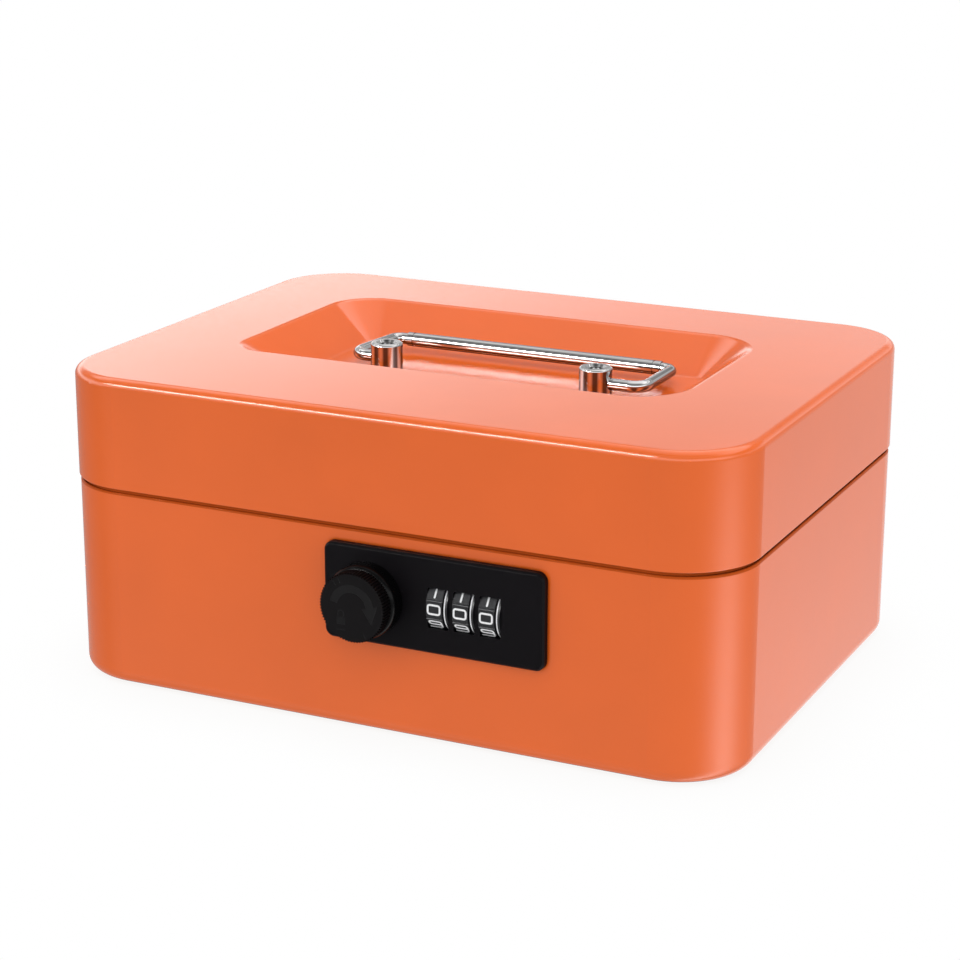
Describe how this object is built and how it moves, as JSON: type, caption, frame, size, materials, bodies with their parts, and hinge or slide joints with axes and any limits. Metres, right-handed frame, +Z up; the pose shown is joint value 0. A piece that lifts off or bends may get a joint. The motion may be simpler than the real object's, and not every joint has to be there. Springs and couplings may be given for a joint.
{
  "type": "cash box",
  "caption": "Small steel cash box with a hinged lid, a folding carry handle sunk in the lid, a knob and dial combination lock, and a lift-out coin tray.",
  "frame": {"origin": "centre of the lower box footprint, on the plane it rests on", "axes": "+X along the width with the lock face on the -Y side, +Y towards the hinges, +Z up"},
  "size_m": [0.205, 0.1723, 0.0904],
  "materials": {
    "orange_paint": "gloss powder coat",
    "chrome": "polished",
    "black_plastic": "satin",
    "dial_plastic": "satin",
    "lock_plastic": "matt",
    "tray_plastic": "fine grain",
    "zinc_steel": "zinc plated",
    "spring_steel": "plain",
    "brass": "machined"
  },
  "bodies": {
    "base": {"box_body": "orange_paint", "hinge_body_leaf_left": "zinc_steel", "hinge_body_leaf_right": "zinc_steel", "hinge_pin_left": "zinc_steel", "hinge_pin_right": "zinc_steel", "hinge_rivets_body": "zinc_steel", "lock_faceplate": "black_plastic", "knob_collar": "black_plastic", "lock_housing": "lock_plastic", "housing_screws": "zinc_steel", "dial_shaft": "zinc_steel", "shaft_spring": "spring_steel", "detent_spring": "spring_steel", "tray_support_left": "orange_paint", "tray_support_right": "orange_paint"},
    "lid_assembly": {"lid": "orange_paint", "handle_post_left": "chrome", "handle_post_right": "chrome", "post_washers": "zinc_steel", "hinge_lid_leaf_left": "zinc_steel", "hinge_lid_leaf_right": "zinc_steel", "hinge_rivets_lid": "zinc_steel", "lid_strike": "zinc_steel"},
    "bail": {"bail_wire": "chrome"},
    "grip": {"grip_sleeve": "chrome"},
    "knob_assembly": {"knob": "black_plastic", "knob_spindle": "zinc_steel", "spindle_washer": "zinc_steel", "latch_cam": "zinc_steel", "cam_screw": "zinc_steel"},
    "dial_group_1": {"dial_1": "dial_plastic", "code_sleeve_1": "brass"},
    "dial_group_2": {"dial_2": "dial_plastic", "code_sleeve_2": "brass"},
    "dial_group_3": {"dial_3": "dial_plastic", "code_sleeve_3": "brass"},
    "fence": {"fence_bar": "zinc_steel"},
    "reset": {"reset_lever": "lock_plastic"},
    "tray": {"coin_tray": "tray_plastic"}
  },
  "joints": [
    {"name": "lid_hinge", "type": "hinge", "parent": "base", "child": "lid_assembly", "pos_m": [0, 0.0802, 0.0584], "axis": [-1, 0, 0], "range_deg": [0, 105]},
    {"name": "handle_lift", "type": "hinge", "parent": "lid_assembly", "child": "bail", "pos_m": [-0.0005, 0.0015, 0.0839], "axis": [1, 0, 0], "range_deg": [0, 165]},
    {"name": "grip_spin", "type": "hinge", "parent": "bail", "child": "grip", "pos_m": [0.0011, 0.0251, 0.0839], "axis": [1, 0, 0], "continuous": true},
    {"name": "knob_turn", "type": "hinge", "parent": "base", "child": "knob_assembly", "pos_m": [0.0005, -0.08, 0.0396], "axis": [0, 1, 0], "range_deg": [0, 90]},
    {"name": "fence_slide", "type": "slide", "parent": "base", "child": "fence", "axis": [0, 1, 0], "range_m": [0, 0.0018]},
    {"name": "dial_1_spin", "type": "hinge", "parent": "base", "child": "dial_group_1", "pos_m": [0.02135, -0.0726, 0.0396], "axis": [1, 0, 0], "continuous": true},
    {"name": "dial_2_spin", "type": "hinge", "parent": "base", "child": "dial_group_2", "pos_m": [0.029, -0.0726, 0.0396], "axis": [1, 0, 0], "continuous": true},
    {"name": "dial_3_spin", "type": "hinge", "parent": "base", "child": "dial_group_3", "pos_m": [0.03665, -0.0726, 0.0396], "axis": [1, 0, 0], "continuous": true},
    {"name": "reset_slide", "type": "slide", "parent": "base", "child": "reset", "axis": [1, 0, 0], "range_m": [0, 0.0017]},
    {"name": "tray_lift", "type": "slide", "parent": "base", "child": "tray", "axis": [0, 0, 1], "range_m": [0, 0.02]}
  ],
  "couplings": [
    {"joint": "fence_slide", "follows": "knob_turn", "m_per_rad": 0.00095493}
  ]
}
